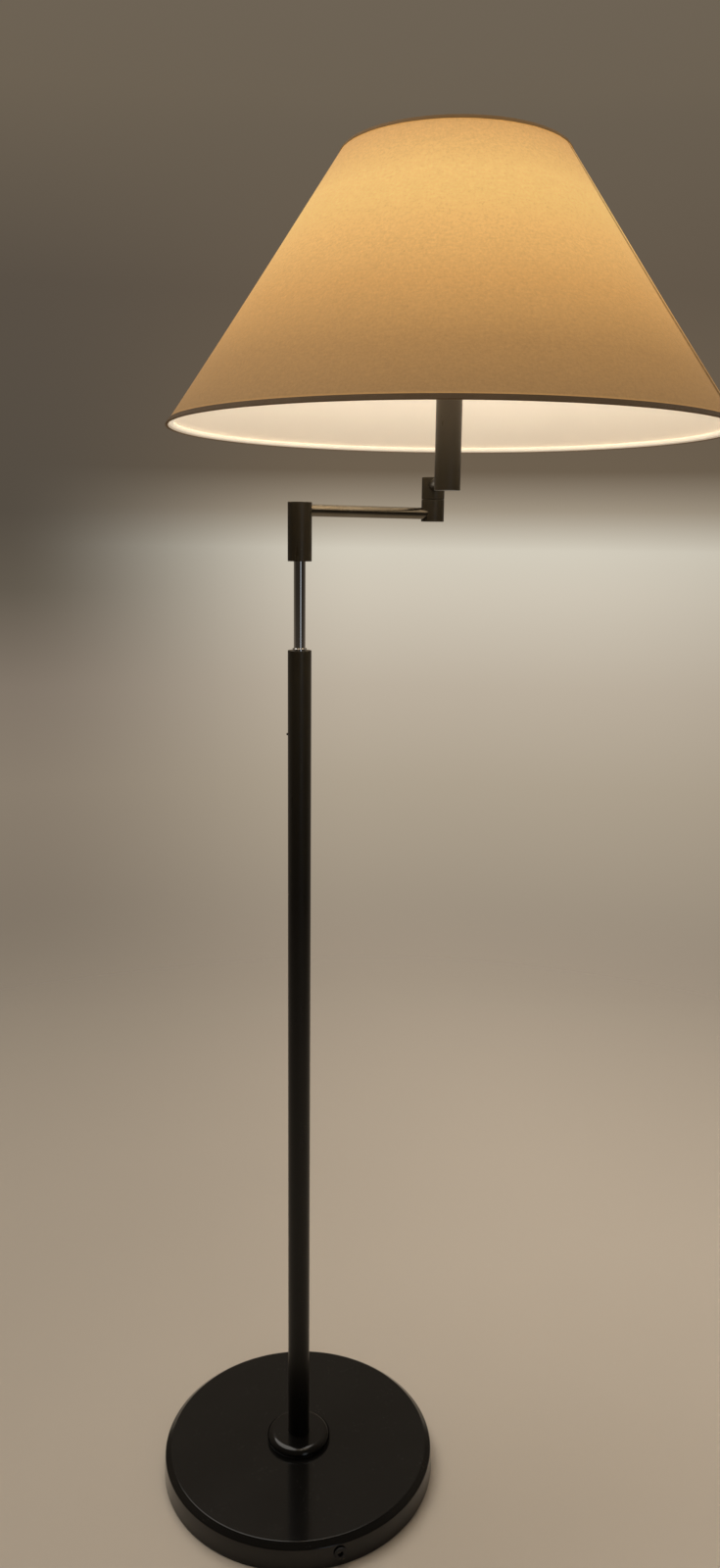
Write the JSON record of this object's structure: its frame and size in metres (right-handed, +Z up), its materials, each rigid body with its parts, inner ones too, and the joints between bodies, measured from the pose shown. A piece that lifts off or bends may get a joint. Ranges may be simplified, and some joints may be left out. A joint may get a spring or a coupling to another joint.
{
  "type": "swing arm floor lamp",
  "caption": "Floor lamp with a round weighted base, a pole with a sliding inner tube, swivelling arms and a wide cone shade.",
  "frame": {"origin": "centre of the base's underside, on the floor", "axes": "+Z up along the pole; +X to the lamp's right, seen from the front; +Y to its back"},
  "size_m": [0.5999, 0.5617, 1.5209],
  "materials": {
    "gloss_black": "gloss",
    "satin_black": "satin",
    "black_screw": "satin",
    "chrome": "polished",
    "steel": "satin",
    "nickel": "satin",
    "brass": "satin",
    "cast_iron": "matte",
    "nylon": "matte",
    "rubber": "matte",
    "felt": "matte",
    "hardboard": "matte",
    "black_plastic": "satin",
    "ceramic": "satin",
    "bulb_glass": "gloss",
    "white_wire": "satin",
    "shade_cloth": "matte",
    "trim_tape": "matte"
  },
  "bodies": {
    "base": {"base_felt": "felt", "bottom_plate": "hardboard", "base_cover": "gloss_black", "base_weight": "cast_iron", "base_collar": "gloss_black", "cord_gland": "rubber", "pole_foot": "steel", "foot_washer": "steel", "foot_nut": "steel", "pole_tube": "satin_black", "top_bush": "chrome", "friction_sleeve": "nylon", "sleeve_screw": "black_screw"},
    "riser": {"inner_tube": "chrome", "stop_ring": "steel", "pivot_flange": "steel", "thrust_washer": "brass"},
    "first_arm": {"hub_shell": "satin_black", "hub_bush": "nylon", "hub_core": "brass", "first_arm_tube": "chrome", "first_arm_studs": "steel", "elbow_lower_shell": "satin_black", "elbow_lower_core": "brass", "elbow_pivot": "steel", "elbow_washer": "nylon", "elbow_spring_washer": "steel", "elbow_nut": "steel"},
    "lamp_arm": {"elbow_upper_shell": "satin_black", "elbow_upper_core": "brass", "second_arm_tube": "chrome", "second_arm_studs": "steel", "holder_tube": "satin_black", "holder_tube_cap": "satin_black", "holder_tube_core": "brass", "holder_tube_plug": "steel", "holder_nipple": "steel", "socket_base": "black_plastic", "socket_shell": "black_plastic", "socket_insert": "ceramic", "socket_screw_shell": "brass", "socket_contact": "brass", "shade_ring_lower": "black_plastic", "shade_ring_upper": "black_plastic", "bulb_cap": "nickel", "bulb_insulator": "black_plastic", "bulb_contact": "brass", "bulb_glass": "bulb_glass", "shade_carrier": "white_wire", "shade_top_ring": "white_wire", "shade_bottom_ring": "white_wire", "shade_skin": "shade_cloth", "shade_bottom_trim": "trim_tape", "shade_top_trim": "trim_tape"}
  },
  "joints": [
    {"name": "height_slide", "type": "slide", "parent": "base", "child": "riser", "axis": [0, 0, 1], "range_m": [-0.094, 0.25]},
    {"name": "hub_swivel", "type": "hinge", "parent": "riser", "child": "first_arm", "pos_m": [0, 0, 1.1665], "axis": [0, 0, 1], "range_deg": [-170, 170]},
    {"name": "elbow_swivel", "type": "hinge", "parent": "first_arm", "child": "lamp_arm", "pos_m": [0.15461, 0.09217, 1.2055], "axis": [0, 0, 1], "range_deg": [-45, 290]}
  ]
}
